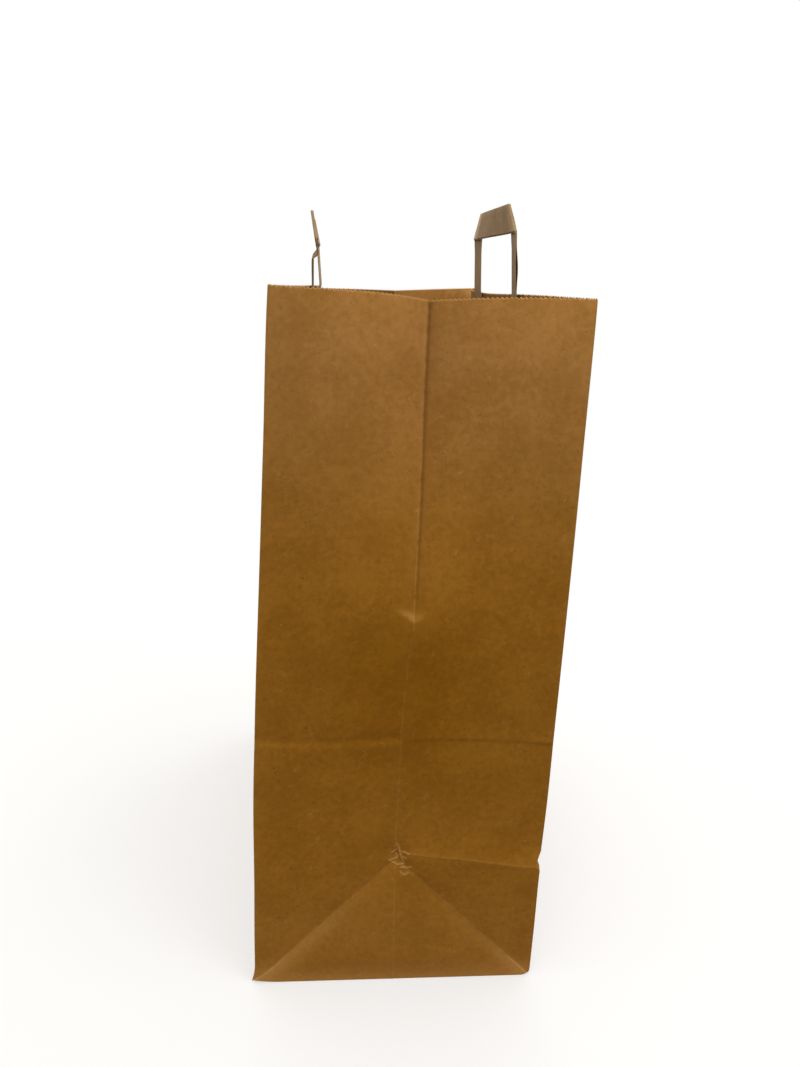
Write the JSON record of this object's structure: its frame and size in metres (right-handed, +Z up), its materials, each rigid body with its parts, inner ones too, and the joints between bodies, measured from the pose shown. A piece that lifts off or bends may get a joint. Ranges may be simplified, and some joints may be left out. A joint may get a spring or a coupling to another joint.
{
  "type": "paper carrier bag",
  "caption": "Upright kraft paper carrier bag with a folded block bottom, gusseted narrow sides, a toothed open mouth and flat folded paper tape handles glued inside the wide walls.",
  "frame": {"origin": "centre of the bag's footprint, on the surface it stands on", "axes": "+Z up through the open mouth, +X out of the gusset that the picture shows, +Y out of the wide wall on the picture's right"},
  "size_m": [0.305, 0.1802, 0.4818],
  "materials": {
    "kraft_paper": "matt brown kraft with faint fibre flecks",
    "handle_tape": "matt greyish brown folded kraft tape",
    "patch_paper": "matt brown kraft"
  },
  "bodies": {
    "root": {"bag_body": "kraft_paper", "handle_front": "handle_tape", "handle_back": "handle_tape", "patch_front": "patch_paper", "patch_back": "patch_paper"}
  },
  "joints": []
}
